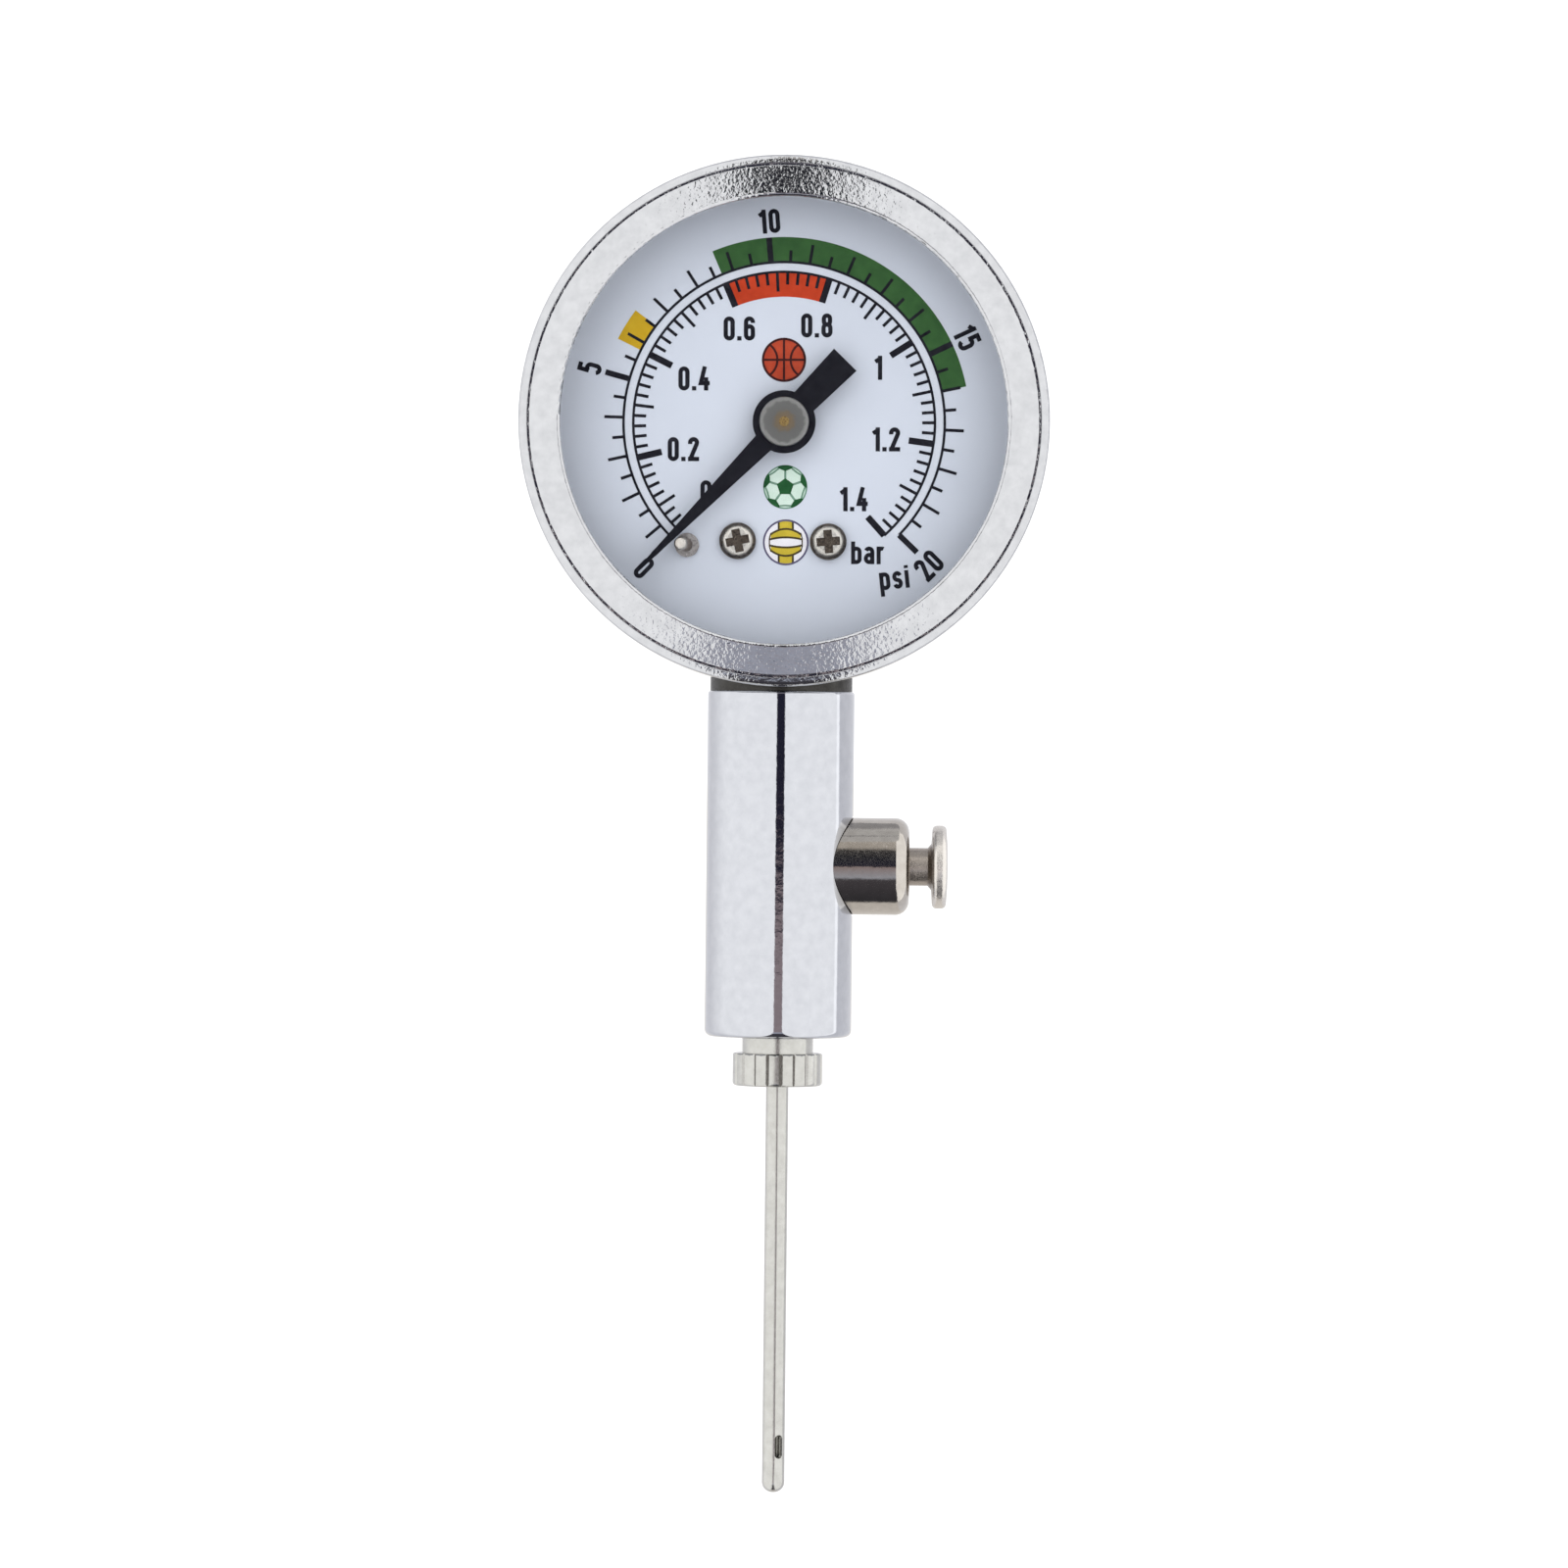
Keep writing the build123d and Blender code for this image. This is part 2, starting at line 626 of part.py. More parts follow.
def valve_spring():
    """A coil between the housing's inner step and the end of the button's stem."""
    wire = 0.16
    radius = 1.13
    length = STEM_BACK - CHAMBER_END - 2 * wire - 0.1
    helix = Helix(pitch=length / 5, height=length, radius=radius)
    section = Plane(origin=helix @ 0, z_dir=helix % 0) * Circle(wire)
    coil = sweep(section, path=helix, is_frenet=True)
    return Pos(CHAMBER_END + wire + 0.05, 0, VALVE_Z) * Rot(0, 90, 0) * coil


# ================================================================ needle
def needle_base():
    """A knurled collar, a neck and a threaded stud. The thread is drawn as rings at its pitch."""
    crest = THREAD_R - 0.05
    base = turned(
        [
            (0, 0, 0),
            (COLLAR_R, 0, 0.3),
            (COLLAR_R, COLLAR_TOP, 0.18),
            (NECK_R, COLLAR_TOP, 0),
            (NECK_R, BARREL_BOTTOM - 0.02, 0.12),
            (crest, BARREL_BOTTOM - 0.02, 0),
            (crest, SEAL_GROOVE[0], 0),
            (SEAL_GROOVE_R, SEAL_GROOVE[0], 0),
            (SEAL_GROOVE_R, SEAL_GROOVE[1], 0),
            (crest, SEAL_GROOVE[1], 0),
            (crest, STUD_TOP, 0.35),
            (0, STUD_TOP, 0),
        ],
        STEM,
    )
    groove_depth = 0.4
    half_groove = 0.35
    groove_z = THREAD_START
    while groove_z < STUD_TOP - groove_depth:
        root = [(crest - groove_depth, groove_z, 0)]
        mouth = [(crest + 0.1, groove_z - half_groove, 0), (crest + 0.1, groove_z + half_groove, 0)]
        base -= turned(root + mouth, STEM)
        groove_z += THREAD_PITCH
    notch = Pos(COLLAR_R + 0.03, 0) * Rot(0, 0, 45) * Rectangle(KNURL_SIZE, KNURL_SIZE)
    for number in range(KNURLS):
        turn = 360 / KNURLS * (number + 0.25)
        base -= extrude(Plane.XY * Rot(0, 0, turn) * notch, amount=COLLAR_TOP)
    base -= ring(0, NEEDLE_ROOT_R + 0.01, -1, NEEDLE_SEAT, STEM)
    return base - ring(0, 0.6, 0, STUD_TOP + 1, STEM)


def needle_tube():
    """A tube closed by a round tip, with a long opening in its side above the tip."""
    tube = turned(
        [
            (0, NEEDLE_TIP, 0),
            (NEEDLE_R, NEEDLE_TIP, NEEDLE_NOSE),
            (NEEDLE_R, 0, 0),
            (NEEDLE_ROOT_R, 0, 0),
            (NEEDLE_ROOT_R, NEEDLE_SEAT, 0),
            (0, NEEDLE_SEAT, 0),
        ],
        STEM,
    )
    tube -= ring(0, NEEDLE_BORE_R, EYE_Z - EYE_LENGTH / 2 - 0.4, NEEDLE_SEAT + 1, STEM)
    eye = Plane.XZ * Pos(0, EYE_Z) * Rot(0, 0, 90) * SlotOverall(EYE_LENGTH, EYE_WIDTH)
    return tube - Rot(0, 0, EYE_TURN) * extrude(eye, amount=2)


def needle_seal():
    """An O-ring in the groove at the stud's root."""
    middle = (SEAL_GROOVE[0] + SEAL_GROOVE[1]) / 2
    return Pos(0, 0, middle) * Torus(2.19, 0.27)


NODES = {
    "case_cup": case_cup,
    "bezel_ring": bezel_ring,
    "lens": lens,
    "lens_gasket": lens_gasket,
    "dial_plate": dial_plate,
    "dial_screws": dial_screws,
    "stop_pin": stop_pin,
    "bourdon_tube": bourdon_tube,
    "tube_tip": tube_tip,
    "link": link,
    "gauge_socket": gauge_socket,
    "movement_front_plate": movement_front_plate,
    "movement_back_plate": movement_back_plate,
    "movement_pillars": movement_pillars,
    "pillar_screws": pillar_screws,
    "movement_screws": movement_screws,
    "pinion_arbor": pinion_arbor,
    "sector_gear": sector_gear,
    "sector_arbor": sector_arbor,
    "link_pin": link_pin,
    "hairspring": hairspring,
    "hairspring_stud": hairspring_stud,
    "pointer": pointer,
    "pointer_boss": pointer_boss,
    "stem_washer": stem_washer,
    "stud_seal": stud_seal,
    "handle_barrel": handle_barrel,
    "valve_housing": valve_housing,
    "valve_button": valve_button,
    "valve_poppet": valve_poppet,
    "valve_seal": valve_seal,
    "valve_spring": valve_spring,
    "needle_base": needle_base,
    "needle_tube": needle_tube,
    "needle_seal": needle_seal,
}

os.makedirs("parts", exist_ok=True)
for name, make in NODES.items():
    made = make()
    solids = made if isinstance(made, list) else [made]
    export_step(Compound(children=solids) if len(solids) > 1 else solids[0], f"parts/{name}.step")
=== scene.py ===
"""Looks of a ball pressure gauge: a dial in a chromed case, on a chromed barrel with a needle."""
from math import cos, pi, radians, sin

import bpy
from mathutils import Matrix, Vector, geometry


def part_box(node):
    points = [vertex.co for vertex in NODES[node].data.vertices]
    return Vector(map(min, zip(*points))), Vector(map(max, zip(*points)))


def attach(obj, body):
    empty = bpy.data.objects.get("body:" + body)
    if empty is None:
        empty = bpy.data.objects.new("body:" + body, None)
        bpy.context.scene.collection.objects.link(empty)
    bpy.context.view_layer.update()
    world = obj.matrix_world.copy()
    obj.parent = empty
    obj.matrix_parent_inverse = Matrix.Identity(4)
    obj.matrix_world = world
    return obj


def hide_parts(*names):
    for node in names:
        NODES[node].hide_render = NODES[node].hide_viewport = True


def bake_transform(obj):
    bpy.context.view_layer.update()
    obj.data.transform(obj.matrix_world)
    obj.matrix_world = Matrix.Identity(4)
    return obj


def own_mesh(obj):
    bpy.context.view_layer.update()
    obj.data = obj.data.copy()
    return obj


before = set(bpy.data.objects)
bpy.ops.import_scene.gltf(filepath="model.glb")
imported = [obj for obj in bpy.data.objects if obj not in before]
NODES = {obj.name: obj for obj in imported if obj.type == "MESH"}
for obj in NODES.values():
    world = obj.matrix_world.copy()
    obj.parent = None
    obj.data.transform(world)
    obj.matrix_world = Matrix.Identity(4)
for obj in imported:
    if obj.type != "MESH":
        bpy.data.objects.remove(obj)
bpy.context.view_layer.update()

MM = 0.001


# ================================================================ places, in millimetres
def corners(node):
    """Lowest and highest corner of a CAD node, in millimetres."""
    low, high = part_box(node)
    return low / MM, high / MM


bezel_low, bezel_high = corners("bezel_ring")
DIAL_Z = (bezel_low.z + bezel_high.z) / 2
DIAL_FACE = corners("dial_plate")[0].y
BEZEL_FACE = bezel_low.y
NEEDLE_TIP = corners("needle_tube")[0].z

# Printed scale. Angles run clockwise from straight down.
PRINT_TURN = 0.6                   # the printing leans this much to the left
PSI_ZERO, PSI_STEP = 36.34, 13.9   # direction of 0 psi and degrees for 1 psi
BAR_STEP = 201.5                   # degrees for 1 bar, from the same zero
SCALE_START = 44.8                 # where the printed rings begin
OUTER_RING, INNER_RING = 12.76, 11.98
RING_WIDTH = 0.2
BAND_INSIDE, BAND_OUTSIDE = 12.12, 12.62
PSI_SHORT, PSI_LONG, PSI_MAJOR = 13.70, 14.29, 14.75
BAR_SHORT, BAR_MEDIUM, BAR_MAJOR = 10.97, 10.42, 10.0
THIN, BOLD_PSI, BOLD_BAR = 0.24, 0.46, 0.52
LABEL_RING = 16.04                 # centres of the psi numbers
DIGIT_HEIGHT = 1.91
UNIT_HEIGHT = 1.8
BALL_LAYERS = (0.012, 0.016, 0.02)     # heights of the layers of ink above the dial


# ================================================================ node materials
def new_material(name):
    material = bpy.data.materials.new(name)
    material.use_nodes = True
    tree = material.node_tree
    return material, tree, tree.nodes["Principled BSDF"]


def noise(tree, scale, detail=3.0):
    """A noise in object space. Scale is features per millimetre."""
    place = tree.nodes.new("ShaderNodeTexCoord")
    mapping = tree.nodes.new("ShaderNodeMapping")
    mapping.inputs["Scale"].default_value = [1 / MM] * 3
    texture = tree.nodes.new("ShaderNodeTexNoise")
    texture.inputs["Scale"].default_value = scale
    texture.inputs["Detail"].default_value = detail
    tree.links.new(place.outputs["Object"], mapping.inputs["Vector"])
    tree.links.new(mapping.outputs["Vector"], texture.inputs["Vector"])
    return texture.outputs["Fac"]


def math_node(tree, operation, *values):
    """A math node whose inputs are numbers or other nodes' outputs."""
    node = tree.nodes.new("ShaderNodeMath")
    node.operation = operation
    for socket, value in zip(node.inputs, values):
        if isinstance(value, (int, float)):
            socket.default_value = value
        else:
            tree.links.new(value, socket)
    return node.outputs[0]


def colour_ramp(tree, factor, stops):
    """Colours along a factor. Each stop is a place from 0 to 1 and a colour."""
    node = tree.nodes.new("ShaderNodeValToRGB")
    elements = node.color_ramp.elements
    for number, (place, colour) in enumerate(stops):
        stop = elements[number] if number < 2 else elements.new(1.0)
        stop.position = place
        stop.color = (*colour, 1)
    tree.links.new(factor, node.inputs["Fac"])
    return node.outputs["Color"]


def blotches(tree, factor, low, high):
    """Blends two colours over the middle of a noise's range."""
    return colour_ramp(tree, factor, ((0.3, low), (0.7, high)))


def spread(tree, factor, low, high, start=0.3, end=0.7):
    """Maps part of a factor's range to a pair of values."""
    node = tree.nodes.new("ShaderNodeMapRange")
    node.inputs["From Min"].default_value = start
    node.inputs["From Max"].default_value = end
    node.inputs["To Min"].default_value = low
    node.inputs["To Max"].default_value = high
    tree.links.new(factor, node.inputs["Value"])
    return node.outputs["Result"]


def bump(tree, shader, layers):
    """Adds bump layers, each a height and a depth in millimetres."""
    normal = None
    for height, depth in layers:
        node = tree.nodes.new("ShaderNodeBump")
        node.inputs["Distance"].default_value = depth * MM
        tree.links.new(height, node.inputs["Height"])
        if normal:
            tree.links.new(normal, node.inputs["Normal"])
        normal = node.outputs["Normal"]
    tree.links.new(normal, shader.inputs["Normal"])


def metal(name, dark, light, rough, wave=0.004, grain=0.0006, wave_scale=1.2, grain_scale=9.0):
    """A plated or bare metal: patchy colour and gloss, a slow wave and a fine grain."""
    material, tree, shader = new_material(name)
    shader.inputs["Metallic"].default_value = 1.0
    patches = noise(tree, wave_scale)
    fine = noise(tree, grain_scale, 2.0)
    tree.links.new(blotches(tree, patches, dark, light), shader.inputs["Base Color"])
    tree.links.new(spread(tree, fine, rough * 0.75, rough * 1.3), shader.inputs["Roughness"])
    bump(tree, shader, [(patches, wave), (fine, grain)])
    return material


def plain(name, dark, light, rough, scale=1.0, grain=0.002, grain_scale=12.0, gloss=0.1):
    """Paint, ink, rubber or another surface with no metal in it."""
    material, tree, shader = new_material(name)
    shader.inputs["Specular IOR Level"].default_value = gloss
    patches = noise(tree, scale)
    fine = noise(tree, grain_scale, 2.0)
    tree.links.new(blotches(tree, patches, dark, light), shader.inputs["Base Color"])
    tree.links.new(spread(tree, fine, rough * 0.85, rough * 1.15), shader.inputs["Roughness"])
    bump(tree, shader, [(fine, grain)])
    return material


def place_part(tree, axis):
    """One coordinate of the surface, in metres."""
    place = tree.nodes.new("ShaderNodeTexCoord")
    parts = tree.nodes.new("ShaderNodeSeparateXYZ")
    tree.links.new(place.outputs["Object"], parts.inputs[0])
    return parts.outputs[axis]


def metal_with_painted_shade(name, measure, stops, rough):
    """A metal whose colour follows a measure of place, used to paint shade onto recesses, sides and rims.
    Stops are in millimetres, with a colour each.
    """
    material, tree, shader = new_material(name)
    shader.inputs["Metallic"].default_value = 1.0
    first, last = stops[0][0], stops[-1][0]
    patches = noise(tree, 2.5)
    blur = spread(tree, patches, -0.05, 0.05)
    share = spread(tree, measure(tree), 0, 1, first * MM, last * MM)
    shares = [((at - first) / (last - first), colour) for at, colour in stops]
    colours = colour_ramp(tree, math_node(tree, "ADD", share, blur), shares)
    tree.links.new(colours, shader.inputs["Base Color"])
    fine = noise(tree, 10.0, 2.0)
    tree.links.new(spread(tree, fine, rough * 0.75, rough * 1.3), shader.inputs["Roughness"])
    bump(tree, shader, [(patches, 0.02), (fine, 0.002)])
    return material


def depth(tree):
    """How far back the surface lies, along the dial's axis."""
    return place_part(tree, "Y")


def along_valve(tree):
    """How far out the surface lies, along the valve's axis."""
    return place_part(tree, "X")


def from_dial_axis(tree):
    """Distance from the dial's axis."""
    pair = tree.nodes.new("ShaderNodeCombineXYZ")
    tree.links.new(place_part(tree, "X"), pair.inputs[0])
    tree.links.new(math_node(tree, "SUBTRACT", place_part(tree, "Z"), DIAL_Z * MM), pair.inputs[1])
    length = tree.nodes.new("ShaderNodeVectorMath")
    length.operation = "LENGTH"
    tree.links.new(pair.outputs[0], length.inputs[0])
    return length.outputs["Value"]


def glass(name):
    """Clear glass that lets the light through to what is behind it."""
    material, tree, shader = new_material(name)
    shader.inputs["Base Color"].default_value = (0.985, 0.99, 0.995, 1)
    shader.inputs["Transmission Weight"].default_value = 1.0
    shader.inputs["IOR"].default_value = 1.49
    shader.inputs["Roughness"].default_value = 0.0
    path = tree.nodes.new("ShaderNodeLightPath")
    either = math_node(tree, "MAXIMUM", path.outputs["Is Shadow Ray"], path.outputs["Is Diffuse Ray"])
    open_air = tree.nodes.new("ShaderNodeBsdfTransparent")
    choice = tree.nodes.new("ShaderNodeMixShader")
    tree.links.new(either, choice.inputs["Fac"])
    tree.links.new(shader.outputs[0], choice.inputs[1])
    tree.links.new(open_air.outputs[0], choice.inputs[2])
    tree.links.new(choice.outputs[0], tree.nodes["Material Output"].inputs["Surface"])
    return material


# ================================================================ flat outlines, in millimetres
def on_dial(radius, angle):
    """Front-view place at a clockwise angle from straight down."""
    turn = radians(angle - PRINT_TURN)
    return (-radius * sin(turn), -radius * cos(turn))


def placed(outline, centre, turn=0.0, size=1.0):
    """An outline scaled, turned counter-clockwise and moved on the printed dial."""
    lean = radians(PRINT_TURN)
    place = (centre[0] * cos(lean) - centre[1] * sin(lean), centre[0] * sin(lean) + centre[1] * cos(lean))
    c, s = cos(radians(turn + PRINT_TURN)), sin(radians(turn + PRINT_TURN))
    return [(place[0] + size * (x * c - y * s), place[1] + size * (x * s + y * c)) for x, y in outline]


def arc(centre, radii, start, end, steps=10):
    """Points on an ellipse, counter-clockwise when the end is past the start."""
    turns = [radians(start + (end - start) * step / steps) for step in range(steps + 1)]
    return [(centre[0] + radii[0] * cos(turn), centre[1] + radii[1] * sin(turn)) for turn in turns]


def circle(centre, radius, steps=48):
    return arc(centre, (radius, radius), 0, 360, steps)[:-1]


def ribbon(path, width, closed=False):
    """Four-cornered pieces of a stroke with mitred corners."""
    points = [Vector(point) for point in path]
    count = len(points)
    sides = []
    for index, point in enumerate(points):
        before = points[index - 1] if index or closed else None
        after = points[(index + 1) % count] if index < count - 1 or closed else None
        into = (point - before).normalized() if before else (after - point).normalized()
        out = (after - point).normalized() if after else into
        middle = (into + out).normalized()
        reach = width / 2 / max(0.35, middle.dot(into))
        across = Vector((-middle.y, middle.x)) * reach
        sides.append((point + across, point - across))
    last = count if closed else count - 1
    pairs = [(sides[index], sides[(index + 1) % count]) for index in range(last)]
    return [[a[0], a[1], b[1], b[0]] for a, b in pairs]


def dial_arc(inside, outside, start, end):
    """Four-cornered pieces of a printed arc, about one for every 1.5 degrees."""
    steps = max(1, round((end - start) / 1.5))
    angles = [start + (end - start) * step / steps for step in range(steps + 1)]
    pairs = zip(angles, angles[1:])
    return [
        [on_dial(inside, a), on_dial(outside, a), on_dial(outside, b), on_dial(inside, b)] for a, b in pairs
    ]


def tick(angle, start, end, width):
    """A radial mark."""
    along = Vector(on_dial(1, angle))
    across = Vector((-along.y, along.x)) * width / 2
    low, high = along * start, along * end
    return [low + across, low - across, high - across, high + across]


# ================================================================ lettering
# Centre lines of a narrow face with straight sides. A capital is 1 high.
STROKE = 0.178
WIDE = 0.285             # distance between the centre lines of a digit's sides
HALF = WIDE / 2
TOP = 1 - STROKE
LOW_TOP = 0.6            # centre line of the top of small letters
EDGE = STROKE / 2
GAP = 0.1


def oval(bottom, top, half=HALF):
    """A closed loop with straight sides and round ends."""
    upper = arc((HALF, top - half), (half, half), 0, 180)
    return upper + arc((HALF, bottom + half), (half, half), 180, 360)


def glyph(sign):
    """The strokes of a sign, each a path and whether it is closed, and the sign's width."""
    round_top = (HALF, TOP - HALF)
    bend = (HALF * 0.9, 0.15)
    strokes = {
        "0": [(oval(0, TOP), True)],
        "1": [([(0.2, -EDGE), (0.2, TOP + EDGE)], False), ([(0.0, 0.66), (0.2, TOP - 0.03)], False)],
        "2": [
            ([(0, TOP - HALF - 0.06)] + arc(round_top, (HALF, HALF), 180, -20) + [(0.03, 0.04)], False),
            ([(-EDGE, 0), (WIDE + EDGE, 0)], False),
        ],
        "4": [
            ([(0.17, TOP + EDGE), (0.0, 0.22), (WIDE + EDGE, 0.22)], False),
            ([(0.22, -EDGE), (0.22, 0.46)], False),
        ],
        "5": [
            ([(WIDE, TOP), (0.02, TOP), (0.02, 0.42)], False),
            (arc((HALF, 0.38), (HALF, HALF), 155, 0) + arc((HALF, HALF), (HALF, HALF), 0, -170), False),
        ],
        "6": [
            ([(WIDE, TOP - HALF - 0.04)] + arc(round_top, (HALF, HALF), 0, 180) + [(0, HALF)], False),
            (oval(0, 0.5), True),
        ],
        "8": [(oval(0, 0.45), True), (oval(0.45, TOP, HALF * 0.9), True)],
        ".": [([(0, -EDGE), (0, EDGE)], False)],
        "b": [([(0, -EDGE), (0, TOP + EDGE)], False), (oval(0, LOW_TOP), True)],
        "a": [
            (arc((HALF, LOW_TOP - HALF), (HALF, HALF), 160, 0) + [(WIDE, -EDGE)], False),
            (arc((HALF, 0.16), (HALF, 0.16), 0, 345, 20), True),
        ],
        "r": [
            ([(0, -EDGE), (0, LOW_TOP + EDGE)], False),
            (arc((HALF, LOW_TOP - HALF), (HALF, HALF), 180, 60), False),
        ],
        "p": [([(0, -0.28 - EDGE), (0, LOW_TOP + EDGE)], False), (oval(0, LOW_TOP), True)],
        "s": [(arc((HALF, 0.45), bend, 15, 240) + arc((HALF, 0.15), bend, 60, -165), False)],
        "i": [([(0, -EDGE), (0, LOW_TOP + EDGE)], False), ([(0, TOP - 0.04), (0, TOP + EDGE)], False)],
    }[sign]
    width = {"1": 0.2, ".": 0.0, "i": 0.0, "r": 0.22}.get(sign, WIDE)
    return strokes, width


def lettering(text, centre, turn=0.0, height=DIGIT_HEIGHT):
    """Pieces of a word or number about its centre, between the base line and a capital's top."""
    pieces = []
    x = 0.0
    for sign in text:
        strokes, width = glyph(sign)
        for path, closed in strokes:
            pieces += [
                [(x + EDGE + p[0], EDGE + p[1]) for p in piece] for piece in ribbon(path, STROKE, closed)
            ]
        x += width + STROKE + GAP
    middle = (x - GAP) / 2
    shifted = [[(px - middle, py - 0.5) for px, py in piece] for piece in pieces]
    return [placed(piece, centre, turn, height) for piece in shifted]


# ================================================================ solid prints and pieces
def finish_piece(name, points, faces, material, body):
    """A mesh object from points in millimetres, riding on a CAD body."""
    mesh = bpy.data.meshes.new(name)
    mesh.from_pydata([Vector(point) * MM for point in points], [], faces)
    mesh.validate()
    mesh.materials.append(material)
    piece = bpy.data.objects.new(name, mesh)
    bpy.context.scene.collection.objects.link(piece)
    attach(piece, body)
    return piece


def covered(outlines, clip=None):
    """Triangles that cover overlapping outlines once, cut to the clip outline if there is one."""
    shapes = ([clip] if clip else []) + list(outlines)
    points = []
    loops = []
    for shape in shapes:
        turns = sum(a[0] * b[1] - a[1] * b[0] for a, b in zip(shape, shape[1:] + shape[:1]))
        shape = shape if turns > 0 else shape[::-1]
        loops.append(list(range(len(points), len(points) + len(shape))))
        points += [Vector(point) for point in shape]
    inside = 1
    tolerance = 1e-5
    points, _, triangles, _, _, sources = geometry.delaunay_2d_cdt(points, [], loops, inside, tolerance)
    wanted = [bool(source) for source in sources]
    if clip:
        wanted = [0 in source and len(source) > 1 for source in sources]
    return points, [triangle for triangle, keep in zip(triangles, wanted) if keep]


def printed(name, outlines, lift, material, clip=None):
    """Ink on the dial: a closed skin that stands a little proud of the face."""
    flat, triangles = covered(outlines, clip)
    sunk = 0.01
    front = DIAL_FACE - lift
    back = DIAL_FACE + sunk
    used = sorted({index for triangle in triangles for index in triangle})
    number = {index: position for position, index in enumerate(used)}
    triangles = [[number[index] for index in triangle] for triangle in triangles]
    count = len(used)
    points = [(flat[index].x, front, DIAL_Z + flat[index].y) for index in used]
    points += [(flat[index].x, back, DIAL_Z + flat[index].y) for index in used]
    edges = {(t[i], t[(i + 1) % 3]) for t in triangles for i in range(3)}
    rim = [(a, b) for a, b in edges if (b, a) not in edges]
    faces = list(triangles)
    faces += [[index + count for index in reversed(triangle)] for triangle in triangles]
    faces += [(b, a, a + count, b + count) for a, b in sorted(rim)]
    return finish_piece(name, points, faces, material, "housing")


# ================================================================ dial printing
def psi(value):
    return PSI_ZERO + PSI_STEP * value


def bar(value):
    return PSI_ZERO + BAR_STEP * value


def psi_marks():
    marks = []
    for half in range(2, 41):
        value = half / 2
        major = value % 5 == 0
        end = PSI_MAJOR if major else PSI_LONG if half % 2 == 0 else PSI_SHORT
        marks.append(tick(psi(value), OUTER_RING, end, BOLD_PSI if major else THIN))
    marks.append(tick(SCALE_START, OUTER_RING, PSI_MAJOR, BOLD_PSI))
    return marks


def bar_marks():
    marks = []
    for step in range(3, 71):
        value = step / 50
        major = step % 10 == 0
        start = BAR_MAJOR if major else BAR_MEDIUM if step % 5 == 0 else BAR_SHORT
        marks.append(tick(bar(value), start, INNER_RING, BOLD_BAR if major else THIN))
    marks.append(tick(SCALE_START, BAR_MAJOR, INNER_RING, BOLD_BAR))
    return marks


def scale_rings():
    half = RING_WIDTH / 2
    outer = dial_arc(OUTER_RING - half, OUTER_RING + half, SCALE_START, psi(20))
    return outer + dial_arc(INNER_RING - half, INNER_RING + half, SCALE_START, bar(1.4))


def numerals():
    signs = []
    for text, angle in (("0", 44.0), ("5", 105.8), ("10", 175.6), ("15", 244.9)):
        turn = radians(angle)
        centre = (-LABEL_RING * sin(turn), -LABEL_RING * cos(turn))
        signs += lettering(text, centre, 180 - angle)
    signs += lettering("20", (11.48, -11.34), 45)
    places = {
        "0": (-6.21, -5.53),
        "0.2": (-8.0, -2.1),
        "0.4": (-7.15, 3.51),
        "0.6": (-3.56, 7.48),
        "0.8": (2.6, 7.72),
        "1": (7.43, 4.36),
        "1.2": (8.05, -1.33),
        "1.4": (5.48, -6.08),
    }
    for text, place in places.items():
        signs += lettering(text, place)
    signs += lettering("bar", (6.69, -10.34), 0, UNIT_HEIGHT)
    return signs + lettering("psi", (8.73, -12.32), 6, UNIT_HEIGHT)


def print_dial():
    ink = plain("dial_ink_black", (0.006, 0.006, 0.01), (0.016, 0.016, 0.022), 0.45)
    white = plain("dial_ink_white", (0.64, 0.68, 0.76), (0.68, 0.72, 0.8), 0.4)
    green = plain("dial_ink_green", (0.032, 0.1, 0.028), (0.044, 0.13, 0.036), 0.45)
    yellow = plain("dial_ink_yellow", (0.55, 0.34, 0.01), (0.64, 0.41, 0.02), 0.45)
    red = plain("dial_ink_red", (0.46, 0.042, 0.01), (0.58, 0.056, 0.016), 0.45)
    low, high = 0.012, 0.02
    printed("print_band", dial_arc(BAND_INSIDE, BAND_OUTSIDE, SCALE_START, psi(20) + 1.5), low, white)
    printed("print_green_zone", dial_arc(OUTER_RING, PSI_MAJOR, psi(8.7), psi(16)), low, green)
    printed("print_yellow_zone", dial_arc(OUTER_RING, PSI_MAJOR + 0.04, psi(5.79), psi(6.53)), low, yellow)
    printed("print_red_zone", dial_arc(BAR_MAJOR, INNER_RING, bar(0.6), bar(0.8)), low, red)
    printed("print_scale", scale_rings() + psi_marks() + bar_marks(), high, ink)
    printed("print_numerals", numerals(), high, ink)


# ================================================================ ball symbols
def spun(points, turn):
    """Points turned counter-clockwise about the origin, in degrees."""
    c, s = cos(radians(turn)), sin(radians(turn))
    return [(x * c - y * s, x * s + y * c) for x, y in points]


def basketball():
    centre, radius = (-0.01, 4.99), 1.76
    orange = plain("dial_ink_orange", (0.38, 0.045, 0.018), (0.5, 0.07, 0.028), 0.45)
    maroon = plain("dial_ink_maroon", (0.035, 0.008, 0.006), (0.06, 0.012, 0.01), 0.45)
    disc = placed(circle((0, 0), 1), centre, 0, radius)
    printed("print_basketball", [disc], BALL_LAYERS[0], orange)
    line = 0.1
    reach = 0.95
    lines = ribbon(circle((0, 0), reach), line * 1.15, True)
    lines += ribbon([(-reach, 0), (reach, 0)], line) + ribbon([(0, -reach), (0, reach)], line)
    for side in (-1, 1):
        lines += ribbon([(side * x, y) for x, y in arc((1.15, 0), (0.85, 0.85), 128, 232, 16)], line)
    shapes = [placed(piece, centre, 0, radius) for piece in lines]
    printed("print_basketball_lines", shapes, BALL_LAYERS[2], maroon, disc)


